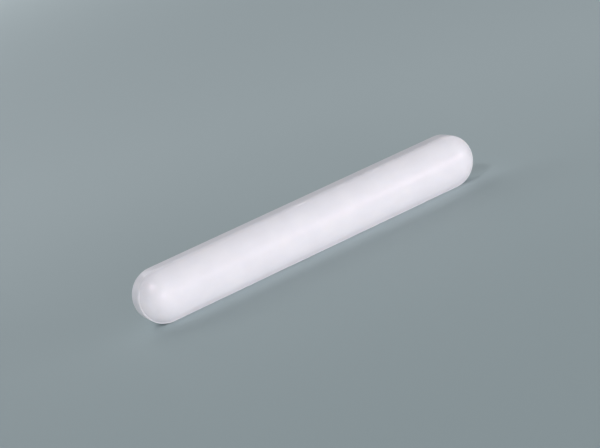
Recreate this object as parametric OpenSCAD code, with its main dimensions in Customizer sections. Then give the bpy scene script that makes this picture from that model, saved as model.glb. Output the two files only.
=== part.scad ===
// Smooth magnetic stir bar: a rod magnet sealed in a moulded PTFE jacket.
//
// The jacket is pressed between two punches in a die. Its outline seen along
// the press is a slot with round ends. The die leaves a straight band all
// round that outline, and each punch leaves a shallow rounded face and a
// narrow ledge where the punch met the die.
//
// The bar lies along X on one flat side of its band, with Z up. The presses
// came from -Y and +Y. The origin is the middle of the side it rests on.

/* [Magnet] */
// Diameter of the rod magnet
magnet_diameter = 7; // [3:0.5:12]
// Length of the rod magnet
magnet_length = 60; // [20:1:120]
// Chamfer on both ends of the rod magnet
magnet_chamfer = 0.4; // [0.1:0.1:1]
// Gap between the magnet and the jacket moulded round it
magnet_clearance = 0.02; // [0.01:0.01:0.1]

/* [Jacket walls] */
// PTFE over the magnet at the flat sides
side_wall = 1.48; // [0.8:0.02:3]
// PTFE over the magnet at the crown of each rounded face
crown_wall = 1.43; // [1:0.01:2]
// PTFE beyond each end of the magnet, to the tip of the bar
end_wall = 4.98; // [3.5:0.02:8]

/* [Moulded form] */
// Height of the straight band, from one press side to the other
band_height = 3.5; // [2:0.1:5]
// Rounding along both edges of the band
band_rounding = 0.1; // [0.05:0.05:0.5]
// Width of the ledge between the band and each rounded face
ledge_width = 0.05; // [0.05:0.05:0.4]

/* [Hidden] */

$fn = 96;

// Cavity that the magnet leaves in the jacket
cavity_diameter = magnet_diameter + 2 * magnet_clearance;
cavity_length = magnet_length + 2 * magnet_clearance;

// Overall sizes of the bar
bar_width = cavity_diameter + 2 * side_wall;
bar_thickness = cavity_diameter + 2 * crown_wall;
bar_length = cavity_length + 2 * end_wall;

// Centres of the two round ends, on the bar's axis
end_radius = bar_width / 2;
end_centre = bar_length / 2 - end_radius;

// Rounded face: a circular arc that rises from the ledge to the crown
face_edge = end_radius - band_rounding - ledge_width;
face_rise = (bar_thickness - band_height) / 2;
face_radius = (pow(face_edge, 2) + pow(face_rise, 2)) / (2 * face_rise);
face_centre = bar_thickness / 2 - face_radius;

// Half of the band's section, with its two edges rounded
module band_half_section() {
    corner_x = end_radius - band_rounding;
    corner_y = band_height / 2 - band_rounding;

    translate([0, -band_height / 2])
        square([corner_x, band_height]);
    translate([0, -corner_y])
        square([end_radius, 2 * corner_y]);
    for (side = [-1, 1])
        translate([corner_x, side * corner_y])
            circle(r = band_rounding);
}

// Half of one rounded face's section, from the mid-plane to the crown
module face_half_section() {
    intersection() {
        translate([0, face_centre])
            circle(r = face_radius);
        square([face_edge, bar_thickness / 2]);
    }
}

// Half of the whole moulded section: x outwards, y along the press
module jacket_half_section() {
    band_half_section();
    face_half_section();
    mirror([0, 1])
        face_half_section();
}

// Solid moulded form, with the press direction along Z
module pressed_blank() {
    rotate([90, 0, 90])
        linear_extrude(height = 2 * end_centre, center = true)
            union() {
                jacket_half_section();
                mirror([1, 0])
                    jacket_half_section();
            }
    for (turn = [0, 180])
        rotate([0, 0, turn])
            translate([end_centre, 0, 0])
                rotate([0, 0, -90])
                    rotate_extrude(angle = 180)
                        jacket_half_section();
}

// Rod along X with chamfered ends, grown by a gap on every side
module rod(gap) {
    radius = magnet_diameter / 2 + gap;
    half_length = magnet_length / 2 + gap;

    rotate([0, 90, 0])
        rotate_extrude()
            polygon([
                [0, -half_length],
                [radius - magnet_chamfer, -half_length],
                [radius, magnet_chamfer - half_length],
                [radius, half_length - magnet_chamfer],
                [radius - magnet_chamfer, half_length],
                [0, half_length]
            ]);
}

// Lifts the bar's axis so that one flat side of the band lies on z = 0
module at_rest() {
    translate([0, 0, bar_width / 2])
        children();
}

// Moulded and sintered PTFE jacket, closed all round the magnet
module jacket() {
    color([0.93, 0.92, 0.95])
        at_rest()
            difference() {
                rotate([90, 0, 0])
                    pressed_blank();
                rod(magnet_clearance);
            }
}

// Cast alloy rod magnet, magnetised along its length
module magnet() {
    color([0.42, 0.42, 0.43])
        at_rest()
            rod(0);
}

jacket();
magnet();
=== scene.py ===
from math import acos, atan2, cos, hypot, pi, radians, sin, sqrt

import bmesh
import bpy
from mathutils import Matrix, Vector


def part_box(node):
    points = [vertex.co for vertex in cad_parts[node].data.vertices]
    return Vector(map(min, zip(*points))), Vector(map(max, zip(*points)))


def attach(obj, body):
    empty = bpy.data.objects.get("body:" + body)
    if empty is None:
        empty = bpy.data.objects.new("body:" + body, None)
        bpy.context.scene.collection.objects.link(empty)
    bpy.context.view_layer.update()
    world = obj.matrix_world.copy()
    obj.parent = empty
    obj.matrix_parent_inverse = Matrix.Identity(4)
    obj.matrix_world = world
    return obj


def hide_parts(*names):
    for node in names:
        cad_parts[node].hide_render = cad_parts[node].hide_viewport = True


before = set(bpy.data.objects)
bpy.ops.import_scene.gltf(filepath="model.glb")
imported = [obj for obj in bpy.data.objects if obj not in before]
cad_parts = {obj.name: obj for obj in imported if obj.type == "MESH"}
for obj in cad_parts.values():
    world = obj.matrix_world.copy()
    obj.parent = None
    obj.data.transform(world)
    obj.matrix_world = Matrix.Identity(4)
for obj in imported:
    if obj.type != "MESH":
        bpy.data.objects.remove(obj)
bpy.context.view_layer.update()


# Camera. A long lens looks at the bar's front, from a little to its left and a
# little above the table, rolled so that the bar climbs from left to right.
camera_place = Vector((-0.09919, -0.29227, 0.08012))
camera_aim = Vector((-0.00121, 0.0, 0.00593))
camera_roll = radians(-20.580)
camera_lens_mm = 104.58

camera_data = bpy.data.cameras.new("camera")
camera_data.lens = camera_lens_mm
camera_data.clip_start = 0.01
camera = bpy.data.objects.new("camera", camera_data)
bpy.context.scene.collection.objects.link(camera)
looks_along = (camera_aim - camera_place).to_track_quat("-Z", "Y").to_matrix().to_4x4()
camera.matrix_world = (
    Matrix.Translation(camera_place) @ looks_along @ Matrix.Rotation(camera_roll, 4, "Z")
)
bpy.context.scene.camera = camera


# Jacket. PTFE powder is pressed round the magnet between two punches in a
# slot-shaped die, then sintered into one white piece. The die wall leaves the
# straight band, and each punch leaves a shallow rounded face and a narrow ledge.
jacket_low, jacket_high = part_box("jacket")
bar_length, bar_thickness, bar_width = jacket_high - jacket_low
end_radius = bar_width / 2
end_centre = bar_length / 2 - end_radius

band_height = 0.0035
upper_rounding = 0.0020
lower_rounding = 0.00008
lower_ledge = 0.00010
ledge_inset = 0.1

face_steps = 44
rounding_steps = 8
band_steps = 12
side_steps = 150
end_steps = 56
weld_distance = 1e-6


def arc(centre, radius, start, end, steps):
    """Points along an arc, its angles measured from the first axis."""
    turns = [start + (end - start) * i / steps for i in range(steps + 1)]
    return [(centre[0] + radius * cos(t), centre[1] + radius * sin(t)) for t in turns]


def half_section(ledge, rounding):
    """Half of the jacket's section: distance from the axis, height along the press.

    Without a ledge, the rounding runs smoothly from the band into the face. The
    ledge has a point a little in from each of its edges, so that it shades flat.
    """
    face_edge = end_radius - (ledge + rounding if ledge else 0)
    face_rise = (bar_thickness - band_height) / 2
    face_radius = (face_edge ** 2 + face_rise ** 2) / (2 * face_rise)
    face_middle = bar_thickness / 2 - face_radius
    corner_out = end_radius - rounding
    if ledge:
        corner = (corner_out, band_height / 2 - rounding)
        face_end = acos(face_edge / face_radius)
        corner_end = pi / 2
    else:
        corner = (corner_out, face_middle + sqrt((face_radius - rounding) ** 2 - corner_out ** 2))
        face_end = atan2(corner[1] - face_middle, corner_out)
        corner_end = face_end
    front = arc((0, face_middle), face_radius, pi / 2, face_end, face_steps)
    inner = front[-1]
    front += [(inner[0] + ledge * share, inner[1]) for share in (ledge_inset, 1 - ledge_inset)]
    front += arc(corner, rounding, corner_end, 0, rounding_steps)
    band = [(end_radius, corner[1] * cos(pi * i / band_steps)) for i in range(1, band_steps)]
    return front + band + [(x, -y) for x, y in reversed(front)]


def section_curve(name, ledge, rounding):
    """A half section as a curve, measured inwards from the die wall, ready to be swept round it."""
    points = [(x - end_radius, y) for x, y in reversed(half_section(ledge, rounding))]
    return straight_curve(name, points, False)


def die_outline():
    """The slot that the die wall follows: one end and one side, then the same turned half round."""
    half = arc((end_centre, 0), end_radius, -pi / 2, pi / 2, end_steps)
    half += [(end_centre * (1 - 2 * i / side_steps), end_radius) for i in range(1, side_steps)]
    return half + [(-x, -y) for x, y in half]


def straight_curve(name, points, closed):
    """A curve object with straight steps through the points, in its own XY plane."""
    curve = bpy.data.curves.new(name, "CURVE")
    curve.dimensions = "3D"
    curve.twist_mode = "Z_UP"
    spline = curve.splines.new("POLY")
    spline.points.add(len(points) - 1)
    for point, (x, y) in zip(spline.points, points):
        point.co = (x, y, 0, 1)
    spline.use_cyclic_u = closed
    made = bpy.data.objects.new(name, curve)
    bpy.context.scene.collection.objects.link(made)
    return made


def node_maker(tree):
    """A function that adds a node to the tree and sets its properties."""
    def node(kind, **settings):
        made = tree.nodes.new(kind)
        for name, value in settings.items():
            setattr(made, name, value)
        return made

    return node


def pressing_tree():
    """Sweeps the sections round the die's outline, welds them, lays the bar down and waves its skin."""
    tree = bpy.data.node_groups.new("jacket_pressing", "GeometryNodeTree")
    tree.interface.new_socket("Geometry", in_out="INPUT", socket_type="NodeSocketGeometry")
    for name, kind in (
        ("Upper section", "NodeSocketObject"),
        ("Lower section", "NodeSocketObject"),
        ("Bar width", "NodeSocketFloat"),
        ("Weld distance", "NodeSocketFloat"),
        ("Least ledge", "NodeSocketFloat"),
        ("Ledge waver", "NodeSocketFloat"),
        ("Wavers per metre", "NodeSocketFloat"),
        ("Wave depth", "NodeSocketFloat"),
        ("Waves per metre", "NodeSocketFloat"),
        ("Material", "NodeSocketMaterial"),
    ):
        tree.interface.new_socket(name, in_out="INPUT", socket_type=kind)
    tree.interface.new_socket("Geometry", in_out="OUTPUT", socket_type="NodeSocketGeometry")

    node = node_maker(tree)
    link = tree.links.new

    def times(value, factor):
        product = node("ShaderNodeMath", operation="MULTIPLY")
        product.inputs[1].default_value = factor
        link(value, product.inputs[0])
        return product.outputs[0]

    given = node("NodeGroupInput").outputs

    def sweep(section):
        held = node("GeometryNodeObjectInfo")
        link(section, held.inputs["Object"])
        swept = node("GeometryNodeCurveToMesh")
        link(given["Geometry"], swept.inputs["Curve"])
        link(held.outputs["Geometry"], swept.inputs["Profile Curve"])
        return swept.outputs["Mesh"]

    # Each point leaves the upper section for the lower one by how low it lies,
    # and the share wavers along the bar, most of all at the lower side.
    lower_place = node("GeometryNodeSampleIndex", data_type="FLOAT_VECTOR")
    link(sweep(given["Lower section"]), lower_place.inputs["Geometry"])
    link(node("GeometryNodeInputPosition").outputs[0], lower_place.inputs["Value"])
    link(node("GeometryNodeInputIndex").outputs[0], lower_place.inputs["Index"])
    across = node("ShaderNodeSeparateXYZ")
    link(node("GeometryNodeInputPosition").outputs[0], across.inputs[0])
    lowness = node("ShaderNodeMapRange")
    link(across.outputs["Y"], lowness.inputs["Value"])
    link(times(given["Bar width"], 0.5), lowness.inputs["From Min"])
    link(times(given["Bar width"], -0.5), lowness.inputs["From Max"])
    link(given["Least ledge"], lowness.inputs["To Min"])
    waver = node("ShaderNodeTexNoise")
    waver.inputs["Detail"].default_value = 1
    link(given["Wavers per metre"], waver.inputs["Scale"])
    wavered = node("ShaderNodeMapRange")
    link(waver.outputs["Fac"], wavered.inputs["Value"])
    link(times(given["Ledge waver"], -1), wavered.inputs["To Min"])
    link(given["Ledge waver"], wavered.inputs["To Max"])
    below_top = node("ShaderNodeMath", operation="SUBTRACT")
    link(lowness.outputs["Result"], below_top.inputs[0])
    link(given["Least ledge"], below_top.inputs[1])
    ledge_share = node("ShaderNodeMath", operation="MULTIPLY_ADD")
    link(below_top.outputs[0], ledge_share.inputs[0])
    link(wavered.outputs["Result"], ledge_share.inputs[1])
    link(lowness.outputs["Result"], ledge_share.inputs[2])
    mixed_place = node("ShaderNodeMix", data_type="VECTOR")
    link(ledge_share.outputs[0], mixed_place.inputs["Factor"])
    link(node("GeometryNodeInputPosition").outputs[0], mixed_place.inputs["A"])
    link(lower_place.outputs["Value"], mixed_place.inputs["B"])
    punched = node("GeometryNodeSetPosition")
    link(sweep(given["Upper section"]), punched.inputs["Geometry"])
    link(mixed_place.outputs["Result"], punched.inputs["Position"])
    weld = node("GeometryNodeMergeByDistance")
    link(punched.outputs["Geometry"], weld.inputs["Geometry"])
    link(given["Weld distance"], weld.inputs["Distance"])

    # The bar is turned on to the flat side of its band and lifted on to the table.
    lift = node("ShaderNodeCombineXYZ")
    link(times(given["Bar width"], 0.5), lift.inputs["Z"])
    lay = node("GeometryNodeTransform")
    lay.inputs["Rotation"].default_value = (pi / 2, 0, 0)
    link(weld.outputs["Geometry"], lay.inputs["Geometry"])
    link(lift.outputs[0], lay.inputs["Translation"])

    # The skin sinks unevenly, by the wave depth at most, and nowhere rises.
    wave = node("ShaderNodeTexNoise")
    wave.inputs["Detail"].default_value = 1
    link(given["Waves per metre"], wave.inputs["Scale"])
    depth = node("ShaderNodeMath", operation="MULTIPLY")
    link(wave.outputs["Fac"], depth.inputs[0])
    link(given["Wave depth"], depth.inputs[1])
    sink = node("ShaderNodeVectorMath", operation="SCALE")
    link(node("GeometryNodeInputNormal").outputs[0], sink.inputs[0])
    link(times(depth.outputs[0], -1), sink.inputs["Scale"])
    waved = node("GeometryNodeSetPosition")
    link(lay.outputs["Geometry"], waved.inputs["Geometry"])
    link(sink.outputs[0], waved.inputs["Offset"])

    smooth = node("GeometryNodeSetShadeSmooth")
    link(waved.outputs["Geometry"], smooth.inputs["Geometry"])
    realized = node("GeometryNodeRealizeInstances")
    link(smooth.outputs["Geometry"], realized.inputs["Geometry"])
    painted = node("GeometryNodeSetMaterial")
    link(realized.outputs["Geometry"], painted.inputs["Geometry"])
    link(given["Material"], painted.inputs["Material"])
    link(painted.outputs["Geometry"], node("NodeGroupOutput").inputs["Geometry"])
    return tree


def finish_nodes(name):
    """A new material and its shader, with what adds a node to it and what links two sockets."""
    material = bpy.data.materials.new(name)
    material.use_nodes = True
    tree = material.node_tree
    return material, tree.nodes["Principled BSDF"], node_maker(tree), tree.links.new


def sintered_ptfe():
    """Waxy white PTFE, clouded by its sintered powder, with lines drawn across its band by the die."""
    material, shader, node, link = finish_nodes("sintered_ptfe")
    place = node("ShaderNodeTexCoord").outputs["Object"]
    shader.inputs["IOR"].default_value = 1.36
    shader.inputs["Specular Tint"].default_value = (1.0, 0.72, 0.80, 1)
    shader.inputs["Subsurface Weight"].default_value = 0.8
    shader.inputs["Subsurface Radius"].default_value = (1.0, 0.95, 0.9)
    shader.inputs["Subsurface Scale"].default_value = 0.0004

    def noise(scale, detail, stretch=(1, 1, 1)):
        spread = node("ShaderNodeMapping")
        spread.inputs["Scale"].default_value = stretch
        link(place, spread.inputs["Vector"])
        made = node("ShaderNodeTexNoise")
        made.inputs["Scale"].default_value = scale
        made.inputs["Detail"].default_value = detail
        link(spread.outputs["Vector"], made.inputs["Vector"])
        return made.outputs["Fac"]

    def between(value, low, high, to_low, to_high):
        ramp = node("ShaderNodeMapRange", interpolation_type="SMOOTHSTEP")
        ramp.inputs["From Min"].default_value = low
        ramp.inputs["From Max"].default_value = high
        ramp.inputs["To Min"].default_value = to_low
        ramp.inputs["To Max"].default_value = to_high
        link(value, ramp.inputs["Value"])
        return ramp.outputs["Result"]

    def combine(operation, first, second):
        combined = node("ShaderNodeMath", operation=operation)
        link(first, combined.inputs[0])
        link(second, combined.inputs[1])
        return combined.outputs[0]

    across = node("ShaderNodeSeparateXYZ")
    link(place, across.inputs[0])
    from_middle = node("ShaderNodeMath", operation="ABSOLUTE")
    link(across.outputs["Y"], from_middle.inputs[0])
    off_middle = from_middle.outputs[0]
    edge = band_height / 2
    fade = 0.0004
    on_band = between(off_middle, edge - fade, edge, 1, 0)
    up_to_edge = between(off_middle, edge - fade, edge, 0, 1)
    on_edge = combine("MULTIPLY", up_to_edge, between(off_middle, edge, edge + fade, 1, 0))

    cloud = noise(240, 4)
    speckle = noise(2200, 2)
    tone = combine("ADD", between(cloud, 0.3, 0.7, 0, 0.8), between(speckle, 0.62, 0.78, 0, 0.2))
    white = node("ShaderNodeMix", data_type="RGBA")
    white.inputs["A"].default_value = (0.860, 0.87, 0.90, 1)
    white.inputs["B"].default_value = (0.895, 0.905, 0.94, 1)
    link(tone, white.inputs["Factor"])
    link(white.outputs["Result"], shader.inputs["Base Color"])

    drag = noise(1, 3, (5200, 60, 5200))
    drawn = combine("MULTIPLY", drag, on_band)
    scuffed = between(noise(520, 3, (0.25, 1, 1)), 0.60, 0.70, 0, 1)
    dull = between(cloud, 0.3, 0.7, 0.29, 0.36)
    dull = combine("ADD", dull, between(scuffed, 0, 1, 0, 0.03))
    dull = combine("SUBTRACT", dull, between(on_edge, 0, 1, 0, 0.04))
    link(dull, shader.inputs["Roughness"])

    grain = node("ShaderNodeBump")
    grain.inputs["Strength"].default_value = 0.15
    grain.inputs["Distance"].default_value = 0.00002
    link(noise(2600, 2), grain.inputs["Height"])
    die_lines = node("ShaderNodeBump")
    die_lines.inputs["Strength"].default_value = 0.3
    die_lines.inputs["Distance"].default_value = 0.00002
    link(drawn, die_lines.inputs["Height"])
    link(grain.outputs["Normal"], die_lines.inputs["Normal"])
    link(die_lines.outputs["Normal"], shader.inputs["Normal"])
    return material


def set_inputs(modifier, values):
    """Sets a modifier's named inputs by the identifier of each socket."""
    for item in modifier.node_group.interface.items_tree:
        if item.in_out == "INPUT" and item.name in values:
            modifier[item.identifier] = values[item.name]


def cavity_wall():
    """The wall of the hollow that the magnet fills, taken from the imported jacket."""
    magnet_end, magnet_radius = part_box("magnet")[1].x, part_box("magnet")[1].y
    room = 0.0001
    wall = bmesh.new()
    wall.from_mesh(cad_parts["jacket"].data)
    bmesh.ops.remove_doubles(wall, verts=wall.verts, dist=weld_distance)
    outside = [
        v for v in wall.verts
        if abs(v.co.x) > magnet_end + room
        or hypot(v.co.y, v.co.z - end_radius) > magnet_radius + room
    ]
    bmesh.ops.delete(wall, geom=outside, context="VERTS")
    return wall


ptfe = sintered_ptfe()
upper_section = section_curve("upper_section", 0, upper_rounding)
lower_section = section_curve("lower_section", lower_ledge, lower_rounding)
pressing = straight_curve("jacket_outline", die_outline(), True)
press = pressing.modifiers.new("pressing", "NODES")
press.node_group = pressing_tree()
set_inputs(press, {
    "Upper section": upper_section,
    "Lower section": lower_section,
    "Bar width": bar_width,
    "Weld distance": weld_distance,
    "Least ledge": 0.12,
    "Ledge waver": 0.5,
    "Wavers per metre": 150.0,
    "Wave depth": 0.00001,
    "Waves per metre": 160.0,
    "Material": ptfe,
})
settled = pressing.evaluated_get(bpy.context.evaluated_depsgraph_get())
skin_mesh = bpy.data.meshes.new_from_object(settled)
for guide in (pressing, upper_section, lower_section):
    bpy.data.objects.remove(guide)

hollow_jacket = cavity_wall()
hollow_jacket.from_mesh(skin_mesh)
for face in hollow_jacket.faces:
    face.smooth = True
jacket_mesh = bpy.data.meshes.new("moulded_jacket")
hollow_jacket.to_mesh(jacket_mesh)
hollow_jacket.free()
jacket_mesh.materials.append(ptfe)
moulded_jacket = bpy.data.objects.new("moulded_jacket", jacket_mesh)
bpy.context.scene.collection.objects.link(moulded_jacket)
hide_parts("jacket")
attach(moulded_jacket, "root")


# Magnet. One rod of cast aluminium-nickel-cobalt alloy, ground round, with
# chamfered ends. It is sealed in the jacket and held tight by it.
def ground_alloy():
    """Grey cast magnet alloy with the fine rings that centreless grinding leaves."""
    material, shader, node, link = finish_nodes("ground_alloy")
    place = node("ShaderNodeTexCoord").outputs["Object"]
    shader.inputs["Metallic"].default_value = 1
    rings = node("ShaderNodeMapping")
    rings.inputs["Scale"].default_value = (9000, 300, 300)
    link(place, rings.inputs["Vector"])
    grinding = node("ShaderNodeTexNoise")
    grinding.inputs["Scale"].default_value = 1
    grinding.inputs["Detail"].default_value = 3
    link(rings.outputs["Vector"], grinding.inputs["Vector"])
    grey = node("ShaderNodeMix", data_type="RGBA")
    grey.inputs["A"].default_value = (0.30, 0.30, 0.31, 1)
    grey.inputs["B"].default_value = (0.48, 0.48, 0.48, 1)
    link(grinding.outputs["Fac"], grey.inputs["Factor"])
    link(grey.outputs["Result"], shader.inputs["Base Color"])
    dull = node("ShaderNodeMapRange")
    dull.inputs["To Min"].default_value = 0.3
    dull.inputs["To Max"].default_value = 0.5
    link(grinding.outputs["Fac"], dull.inputs["Value"])
    link(dull.outputs["Result"], shader.inputs["Roughness"])
    score = node("ShaderNodeBump")
    score.inputs["Strength"].default_value = 0.3
    score.inputs["Distance"].default_value = 0.00001
    link(grinding.outputs["Fac"], score.inputs["Height"])
    link(score.outputs["Normal"], shader.inputs["Normal"])
    return material


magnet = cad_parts["magnet"]
magnet.data.materials.clear()
magnet.data.materials.append(ground_alloy())


# Table and light. A plain pale table top that pales a little with distance, with
# painted light that makes it paler towards the back right. Low strip lamps stand
# in front of the bar and softboxes to its left and behind it, one lamp shows in
# the gloss alone, and an even light comes from the room.
table_reach = 20.0
table_mesh = bpy.data.meshes.new("table")
table_mesh.from_pydata(
    [(x * table_reach, y * table_reach, 0) for x, y in ((-1, -1), (1, -1), (1, 1), (-1, 1))],
    [],
    [(0, 1, 2, 3)],
)
table = bpy.data.objects.new("table", table_mesh)
bpy.context.scene.collection.objects.link(table)


def seen_directly(node, link):
    """1 for what is seen straight, mirrored or through glass, and 0 for light that spreads."""
    path = node("ShaderNodeLightPath")
    mirrored = node("ShaderNodeMath", operation="MAXIMUM")
    link(path.outputs["Is Camera Ray"], mirrored.inputs[0])
    link(path.outputs["Is Glossy Ray"], mirrored.inputs[1])
    directly = node("ShaderNodeMath", operation="MAXIMUM")
    link(mirrored.outputs[0], directly.inputs[0])
    link(path.outputs["Is Transmission Ray"], directly.inputs[1])
    return directly.outputs[0]


pale_table, table_shader, table_node, table_link = finish_nodes("pale_table")
spot = table_node("ShaderNodeTexCoord")
# Painted light: the seen colour is darker towards the front left and paler towards the back right, in
# place of the way the lamps light the table.
away = table_node("ShaderNodeVectorMath", operation="DOT_PRODUCT")
away.inputs[1].default_value = (1, 1, 0)
table_link(spot.outputs["Object"], away.inputs[0])
painted_light_ramp = table_node("ShaderNodeMapRange", interpolation_type="SMOOTHSTEP")
painted_light_ramp.inputs["From Min"].default_value = -0.24
painted_light_ramp.inputs["From Max"].default_value = 0.22
table_link(away.outputs["Value"], painted_light_ramp.inputs["Value"])
painted_table_light = table_node("ShaderNodeMix", data_type="RGBA")
painted_table_light.inputs["A"].default_value = (0.40, 0.49, 0.495, 1)
painted_table_light.inputs["B"].default_value = (0.595, 0.70, 0.705, 1)
table_link(painted_light_ramp.outputs["Result"], painted_table_light.inputs["Factor"])
distance = table_node("ShaderNodeVectorMath", operation="LENGTH")
table_link(spot.outputs["Object"], distance.inputs[0])
far_off = table_node("ShaderNodeMapRange", interpolation_type="SMOOTHSTEP")
far_off.inputs["From Min"].default_value = 0.3
far_off.inputs["From Max"].default_value = 2.4
table_link(distance.outputs["Value"], far_off.inputs["Value"])
table_seen = table_node("ShaderNodeMix", data_type="RGBA")
table_seen.inputs["B"].default_value = (0.86, 0.97, 0.96, 1)
table_link(far_off.outputs["Result"], table_seen.inputs["Factor"])
table_link(painted_table_light.outputs["Result"], table_seen.inputs["A"])
table_colour = table_node("ShaderNodeMix", data_type="RGBA")
table_colour.inputs["A"].default_value = (0.77, 0.80, 0.80, 1)
table_link(table_seen.outputs["Result"], table_colour.inputs["B"])
table_link(seen_directly(table_node, table_link), table_colour.inputs["Factor"])
table_link(table_colour.outputs["Result"], table_shader.inputs["Base Color"])
table_shader.inputs["Roughness"].default_value = 0.55
table_shader.inputs["Specular IOR Level"].default_value = 0.02
table_mesh.materials.append(pale_table)


def softbox(
    name, turn, height, width, depth, watts, tint=(0.95, 0.95, 1.0), reach=0.7, in_gloss_alone=False
):
    """A soft lamp aimed at the bar, turned round it from its front and raised by an angle.

    One that is in the gloss alone adds a highlight and no spread light.
    """
    data = bpy.data.lights.new(name, "AREA")
    data.shape = "RECTANGLE"
    data.size = width
    data.size_y = depth
    data.energy = watts
    data.color = tint
    lamp = bpy.data.objects.new(name, data)
    bpy.context.scene.collection.objects.link(lamp)
    middle = Vector((0, 0, end_radius))
    out = Vector((sin(turn) * cos(height), -cos(turn) * cos(height), sin(height)))
    aimed = (-out).to_track_quat("-Z", "Y").to_matrix().to_4x4()
    lamp.matrix_world = Matrix.Translation(middle + out * reach) @ aimed
    lamp.visible_diffuse = not in_gloss_alone


# For each lamp: its turn round the bar, its angle over the table, its width and depth, its watts.
softbox("front_left_strip", radians(-10), radians(3.3), 0.28, 0.075, 1.56, (1.0, 0.955, 0.985))
softbox("front_right_strip", radians(30), radians(3.3), 0.30, 0.075, 1.13, (1.0, 0.915, 0.955))
softbox("far_right_strip", radians(55), radians(4), 0.30, 0.05, 0.84)
softbox("left_top_softbox", radians(-47), radians(48), 0.07, 0.07, 0.59)
softbox("left_top_glint", radians(-47), radians(48), 0.05, 0.05, 1.3, in_gloss_alone=True)
softbox("rear_glint", radians(176), radians(18), 0.50, 0.24, 0.95, reach=2.0)
softbox("left_softbox", radians(-110), radians(10), 0.30, 0.12, 0.225)
softbox("rear_left_softbox", radians(-150), radians(20), 1.14, 0.75, 5.86, reach=2.6)
softbox("rear_softbox", radians(180), radians(38), 1.46, 1.14, 11.0, reach=2.6)

world = bpy.data.worlds.new("studio")
world.use_nodes = True
around = world.node_tree.nodes["Background"]
around.inputs["Strength"].default_value = 0.271
room_node = node_maker(world.node_tree)
room_link = world.node_tree.links.new
room_colour = room_node("ShaderNodeMix", data_type="RGBA")
room_colour.inputs["A"].default_value = (0.95, 0.95, 1.0, 1)
room_colour.inputs["B"].default_value = (0.84, 0.94, 0.97, 1)
room_link(seen_directly(room_node, room_link), room_colour.inputs["Factor"])
room_link(room_colour.outputs["Result"], around.inputs["Color"])
bpy.context.scene.world = world
bpy.context.scene.view_settings.view_transform = "Standard"
